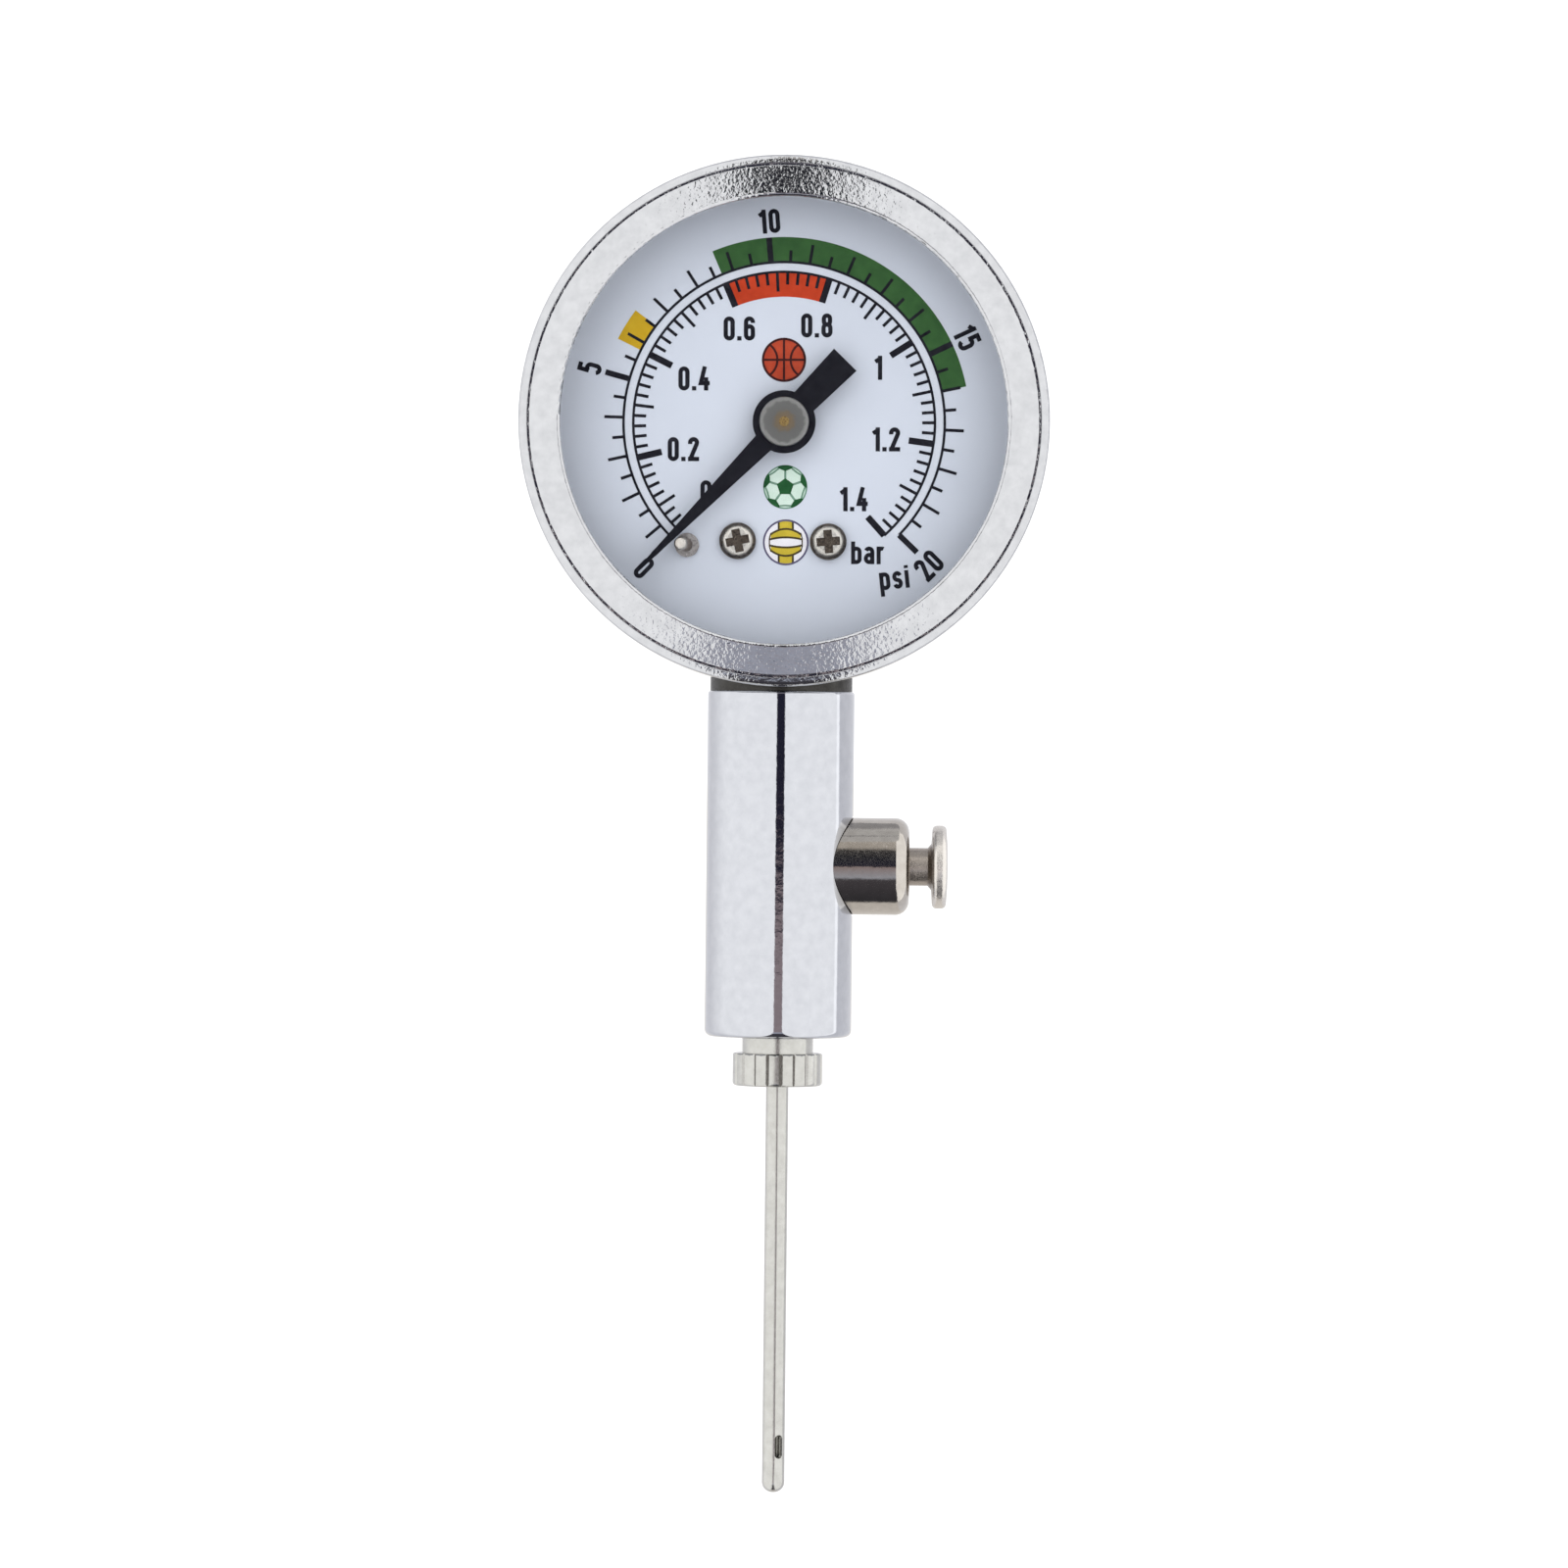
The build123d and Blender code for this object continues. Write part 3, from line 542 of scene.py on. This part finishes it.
def football():
    centre, radius = (0.09, -5.11), 1.75
    mint = plain("dial_ink_mint", (0.6, 0.76, 0.66), (0.68, 0.82, 0.74), 0.45)
    green = plain("dial_ink_dark_green", (0.01, 0.075, 0.02), (0.016, 0.1, 0.03), 0.45)
    seam = plain("dial_ink_seam", (0.13, 0.26, 0.18), (0.18, 0.32, 0.24), 0.45)
    disc = placed(circle((0, 0), 1), centre, 0, radius)
    printed("print_football", [disc], BALL_LAYERS[0], mint)
    fifth = 72
    turns = [90 + fifth * number for number in range(5)]
    patch = [(0.72, 0.0), (0.84, 0.3), (1.1, 0.42), (1.1, -0.42), (0.84, -0.3)]
    seams = ribbon(circle((0, 0), 0.965), 0.07, True)
    patches = [[spun([(0.4, 0)], turn)[0] for turn in turns]]
    for turn in turns:
        seams += ribbon(spun([(0, 0), (1, 0)], turn), 0.1)
        patches.append(spun(patch, turn))
        bend = spun([patch[1]], turn) + spun([(0.84, 0)], turn + fifth / 2) + spun([patch[4]], turn + fifth)
        seams += ribbon(bend, 0.08)
    seams = [placed(piece, centre, 0, radius) for piece in seams]
    patches = [placed(piece, centre, 0, radius) for piece in patches]
    printed("print_football_seams", seams, BALL_LAYERS[1], seam, disc)
    printed("print_football_patches", patches, BALL_LAYERS[2], green, disc)


def bow(middle, sag, half=1.25, steps=12):
    """Points of a shallow arch from left to right, highest in the middle."""
    xs = [half * (2 * step / steps - 1) for step in range(steps + 1)]
    return [(x, middle - sag * x * x) for x in xs]


def volleyball():
    centre, radius = (0.13, -9.51), 1.83
    white = plain("dial_ink_ball_white", (0.78, 0.77, 0.82), (0.84, 0.83, 0.88), 0.45)
    yellow = plain("dial_ink_ball_yellow", (0.48, 0.38, 0.03), (0.6, 0.46, 0.045), 0.45)
    brown = plain("dial_ink_brown", (0.045, 0.035, 0.012), (0.075, 0.055, 0.02), 0.45)
    grey = plain("dial_ink_ball_rim", (0.09, 0.08, 0.15), (0.13, 0.12, 0.2), 0.45)
    disc = placed(circle((0, 0), radius), centre)
    printed("print_volleyball", [disc], 0.01, white)
    bands = []
    lines = []
    for side in (-1, 1):
        cap = [(-0.52, 1.05), (0.52, 1.05), (0.52, 1.9), (-0.52, 1.9)]
        band = bow(0.42, 0.1, 1.18) + bow(1.05, 0.3, 1.18)[::-1]
        bands += [[(x, side * y) for x, y in cap], [(x, side * y) for x, y in band]]
        strokes = [bow(1.07, 0.3, 1.2), bow(0.4, 0.1, 1.28)]
        strokes += [[(x, 1.0), (x, 1.8)] for x in (-0.56, 0.56)]
        for stroke in strokes:
            lines += ribbon([(x, side * y) for x, y in stroke], 0.16)
        edge = [(1.18, -0.75), (1.3, -0.3), (1.3, 0.3), (1.18, 0.75)]
        lines += ribbon([(side * x, y) for x, y in edge], 0.1)
    rim = [placed(piece, centre) for piece in ribbon(circle((0, 0), radius - 0.08), 0.15, True)]
    printed("print_volleyball_bands", [placed(piece, centre) for piece in bands], 0.014, yellow, disc)
    printed("print_volleyball_lines", [placed(piece, centre) for piece in lines], 0.018, brown, disc)
    printed("print_volleyball_rim", rim, 0.022, grey, disc)


# ================================================================ finishes of the CAD nodes
def finishes():
    chrome = metal("chrome_case", (0.46, 0.465, 0.48), (0.52, 0.525, 0.54), 0.07, 0.004, 0.024, 1.2, 3.3)
    barrel = metal("chrome_barrel", (0.46, 0.47, 0.5), (0.51, 0.52, 0.55), 0.04)
    nickel = metal("valve_nickel", (0.43, 0.4, 0.365), (0.5, 0.47, 0.43), 0.1, 0.009, 0.0008, 1.6)
    # Painted shade along the valve's button: the stem is darker, with a darker ring where the stem meets the
    # cap, and the cap stays light.
    button_painted_shade_stops = (
        (10.4, (0.36, 0.32, 0.285)),
        (11.9, (0.36, 0.32, 0.285)),
        (12.15, (0.24, 0.21, 0.19)),
        (12.35, (0.62, 0.585, 0.545)),
        (13.5, (0.68, 0.65, 0.61)),
    )
    button = metal_with_painted_shade("button_nickel_painted_shade", along_valve, button_painted_shade_stops, 0.3)
    pale = metal("needle_nickel", (0.44, 0.435, 0.41), (0.5, 0.495, 0.47), 0.2)
    steel = metal("screw_steel", (0.55, 0.53, 0.48), (0.64, 0.62, 0.57), 0.3)
    # Painted shade by depth on the dial's screws: the head's face stays light, and the cross recess and the
    # rim behind it are painted dark.
    screw_painted_shade_stops = (
        (-7.4, (0.66, 0.64, 0.6)),
        (-7.24, (0.6, 0.57, 0.52)),
        (-7.1, (0.17, 0.145, 0.12)),
        (-6.8, (0.1, 0.082, 0.065)),
        (-6.5, (0.13, 0.11, 0.09)),
    )
    # Painted shade by depth on the stop pin: a light front end, its side painted dark brown, then a lighter
    # flange with a darker back.
    pin_painted_shade_stops = (
        (-8.6, (0.66, 0.63, 0.59)),
        (-8.4, (0.58, 0.54, 0.49)),
        (-8.2, (0.2, 0.15, 0.115)),
        (-6.95, (0.11, 0.085, 0.065)),
        (-6.8, (0.4, 0.38, 0.37)),
        (-6.5, (0.2, 0.185, 0.18)),
    )
    # Painted shade on the pointer's boss, in rings by distance from the dial's axis: dark brown at the
    # centre, dark grey further out, and lighter in a ring near the rim.
    boss_painted_shade_stops = (
        (0.0, (0.26, 0.18, 0.1)),
        (0.75, (0.2, 0.165, 0.12)),
        (0.95, (0.17, 0.17, 0.165)),
        (1.55, (0.18, 0.18, 0.175)),
        (1.72, (0.3, 0.3, 0.29)),
        (2.0, (0.26, 0.26, 0.25)),
    )
    dial_screw = metal_with_painted_shade("dial_screw_steel_painted_shade", depth, screw_painted_shade_stops, 0.3)
    dial_pin = metal_with_painted_shade("stop_pin_steel_painted_shade", depth, pin_painted_shade_stops, 0.3)
    boss = metal_with_painted_shade("boss_steel", from_dial_axis, boss_painted_shade_stops, 0.4)
    brass = metal("brass", (0.3, 0.2, 0.08), (0.38, 0.26, 0.1), 0.3)
    bronze = metal("washer_bronze", (0.038, 0.036, 0.034), (0.062, 0.06, 0.056), 0.4)
    black = plain("pointer_black", (0.005, 0.005, 0.008), (0.011, 0.011, 0.015), 0.4)
    rubber = plain("rubber", (0.015, 0.015, 0.015), (0.03, 0.03, 0.03), 0.6)
    white = plain("dial_white", (0.63, 0.675, 0.765), (0.65, 0.695, 0.785), 0.5, 0.15, 0.001)
    clear = glass("clear_lens")
    by_slot = {
        "chrome_case": chrome,
        "chrome_barrel": barrel,
        "valve_nickel": nickel,
        "needle_nickel": pale,
        "clear_lens": clear,
        "rubber": rubber,
        "dial_white": white,
        "screw_steel": steel,
        "pin_steel": steel,
        "brass": brass,
        "bronze_tube": brass,
        "gear_brass": brass,
        "spring_bronze": brass,
        "spring_steel": steel,
        "pointer_black": black,
        "boss_steel": boss,
        "washer_bronze": bronze,
    }
    for name, node in NODES.items():
        slot = node.data.materials[0].name.split(".")[0]
        node.data.materials[0] = by_slot[slot]
    NODES["dial_screws"].data.materials[0] = dial_screw
    NODES["stop_pin"].data.materials[0] = dial_pin
    NODES["valve_button"].data.materials[0] = button


def flexing_copy(node):
    """A new piece in a CAD node's shape and finish, with a mesh of its own, shown in its place."""
    piece = bpy.data.objects.new(node + "_flexing", NODES[node].data.copy())
    bpy.context.scene.collection.objects.link(piece)
    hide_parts(node)
    return piece


def bourdon_tube():
    """The tube uncoils between its brazed end and its tip; here it is a copy in place of its CAD node, with
    its placement baked into its mesh.
    """
    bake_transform(flexing_copy("bourdon_tube"))


def valve_spring():
    """The spring shortens against its seat as the button goes in; here it is a copy in place of its CAD node,
    riding on the housing with a mesh of its own.
    """
    coil = flexing_copy("valve_spring")
    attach(coil, "housing")
    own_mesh(coil)


# ================================================================ studio
CAMERA_AWAY = 550.0      # from the bezel's face
FRAME_WIDE = 123.55      # width of the picture at the bezel's face
SENSOR = 36.0
CAMERA_ROLL = 0.6
AIM_X = 0.29
AIM_Z = 24.25
FLOOR_DROP = 4.8         # leaves room for the needle to be screwed out
FLOOR_HALF = 1500.0
LIGHT = 1.5              # strength of the light from all round
BACKDROP = 1.2           # brightness of the empty background

# The room, by angle from the view direction, in degrees.
WALL_WHITE = (1.0, 1.0, 1.0)
WALL_GREY = (0.64, 0.64, 0.665)
WALL_BRIGHT = (1.2, 1.2, 1.2)
LEFT_GREY = (88, 150)             # where the left wall turns grey
RIGHT_BRIGHT = (97, 100)          # where a brighter upright strip starts on the right
RIGHT_GREY = (103, 107)           # where it ends in a grey wall
STRIP_EDGE = (5.7, 7.1)           # half width of the strip, where its soft edge starts and ends
STRIP_FLARE = 0.068               # how much the strip narrows for each degree further up
STRIP_CHANGE = (-1.15, -0.75)     # where the colours below give way to those above

# Colours of the narrow strip of room behind the camera, by angle from the view direction.
STRIP_BELOW = (
    (-180, (0.62, 0.6, 0.58)),
    (-98, (0.62, 0.6, 0.58)),
    (-92, (0.034, 0.034, 0.04)),
    (-32, (0.065, 0.061, 0.072)),
    (-26, (0.38, 0.4, 0.47)),
    (-3, (0.3, 0.25, 0.26)),
    (0, (0.26, 0.2, 0.205)),
)
STRIP_ABOVE = (
    (-10, (0.008, 0.007, 0.01)),
    (2, (0.018, 0.018, 0.034)),
    (24, (0.014, 0.015, 0.022)),
    (38, (0.03, 0.028, 0.03)),
    (46, (0.4, 0.375, 0.35)),
    (100, (0.42, 0.395, 0.37)),
    (112, (0.62, 0.6, 0.58)),
)


def white_floor():
    level = NEEDLE_TIP - FLOOR_DROP
    mesh = bpy.data.meshes.new("floor")
    corner_signs = ((-1, -1), (1, -1), (1, 1), (-1, 1))
    square = [(FLOOR_HALF * x, FLOOR_HALF * y, level) for x, y in corner_signs]
    mesh.from_pydata([Vector(point) * MM for point in square], [], [(0, 1, 2, 3)])
    floor = bpy.data.objects.new("floor", mesh)
    bpy.context.scene.collection.objects.link(floor)
    mesh.materials.append(plain("floor_white", (0.9, 0.9, 0.9), (0.92, 0.92, 0.92), 0.9, 0.01, 0.0))
    floor.visible_glossy = False


def soft_step(tree, value, start, end):
    """0 before the start and 1 past the end, in degrees."""
    node = tree.nodes.new("ShaderNodeMapRange")
    node.interpolation_type = "SMOOTHSTEP"
    node.inputs["From Min"].default_value = radians(start)
    node.inputs["From Max"].default_value = radians(end)
    tree.links.new(value, node.inputs["Value"])
    return node.outputs["Result"]


def mixed(tree, factor, first, second):
    """Blends two colours or colour outputs."""
    node = tree.nodes.new("ShaderNodeMix")
    node.data_type = "RGBA"
    tree.links.new(factor, node.inputs["Factor"])
    for name, value in (("A", first), ("B", second)):
        socket = [item for item in node.inputs if item.name == name and item.type == "RGBA"][0]
        if isinstance(value, tuple):
            socket.default_value = (*value, 1)
        else:
            tree.links.new(value, socket)
    return [item for item in node.outputs if item.type == "RGBA"][0]


def by_angle(tree, pitch, stops):
    """Colours by pitch. Each stop is an angle in degrees and a colour."""
    turn = math_node(tree, "MULTIPLY_ADD", pitch, 0.5 / pi, 0.5)
    return colour_ramp(tree, turn, [(0.5 + angle / 360, colour) for angle, colour in stops])


def studio_light():
    """Soft white light from all round, with a darker strip behind the camera and greyer walls at the back."""
    world = bpy.data.worlds.new("studio")
    bpy.context.scene.world = world
    world.use_nodes = True
    tree = world.node_tree
    tree.nodes.clear()
    place = tree.nodes.new("ShaderNodeTexCoord")
    parts = tree.nodes.new("ShaderNodeSeparateXYZ")
    tree.links.new(place.outputs["Generated"], parts.inputs[0])    # the world's own directions
    x, y, z = parts.outputs
    ahead = math_node(tree, "MULTIPLY", y, -1.0)
    azimuth = math_node(tree, "ARCTAN2", x, ahead)
    leftward = math_node(tree, "MULTIPLY", azimuth, -1.0)
    across = math_node(tree, "ABSOLUTE", math_node(tree, "ARCSINE", x))
    pitch = math_node(tree, "ARCTAN2", z, ahead)
    walls = mixed(tree, soft_step(tree, leftward, *LEFT_GREY), WALL_WHITE, WALL_GREY)
    walls = mixed(tree, soft_step(tree, azimuth, *RIGHT_BRIGHT), walls, WALL_BRIGHT)
    walls = mixed(tree, soft_step(tree, azimuth, *RIGHT_GREY), walls, WALL_GREY)
    below = by_angle(tree, pitch, STRIP_BELOW)
    above = by_angle(tree, pitch, STRIP_ABOVE)
    strip = mixed(tree, soft_step(tree, pitch, *STRIP_CHANGE), below, above)
    widening = math_node(tree, "MULTIPLY_ADD", pitch, STRIP_FLARE, across)
    room = mixed(tree, soft_step(tree, widening, *STRIP_EDGE), strip, walls)
    lit = tree.nodes.new("ShaderNodeBackground")
    lit.inputs["Strength"].default_value = LIGHT
    tree.links.new(room, lit.inputs["Color"])
    seen = tree.nodes.new("ShaderNodeBackground")
    seen.inputs["Color"].default_value = (*WALL_WHITE, 1)
    seen.inputs["Strength"].default_value = BACKDROP
    path = tree.nodes.new("ShaderNodeLightPath")
    choice = tree.nodes.new("ShaderNodeMixShader")
    tree.links.new(path.outputs["Is Camera Ray"], choice.inputs["Fac"])
    tree.links.new(lit.outputs[0], choice.inputs[1])
    tree.links.new(seen.outputs[0], choice.inputs[2])
    output = tree.nodes.new("ShaderNodeOutputWorld")
    tree.links.new(choice.outputs[0], output.inputs["Surface"])


def studio_camera():
    data = bpy.data.cameras.new("camera")
    data.sensor_width = SENSOR
    data.lens = SENSOR * CAMERA_AWAY / FRAME_WIDE
    data.clip_start = 0.01
    data.clip_end = 10.0
    camera = bpy.data.objects.new("camera", data)
    bpy.context.scene.collection.objects.link(camera)
    level = Matrix.Rotation(radians(90), 4, "X") @ Matrix.Rotation(radians(CAMERA_ROLL), 4, "Z")
    place = Vector((AIM_X, BEZEL_FACE - CAMERA_AWAY, AIM_Z)) * MM
    camera.matrix_world = Matrix.Translation(place) @ level
    bpy.context.scene.camera = camera


finishes()
print_dial()
basketball()
football()
volleyball()
bourdon_tube()
valve_spring()
white_floor()
studio_light()
studio_camera()
bpy.context.scene.view_settings.view_transform = "Standard"
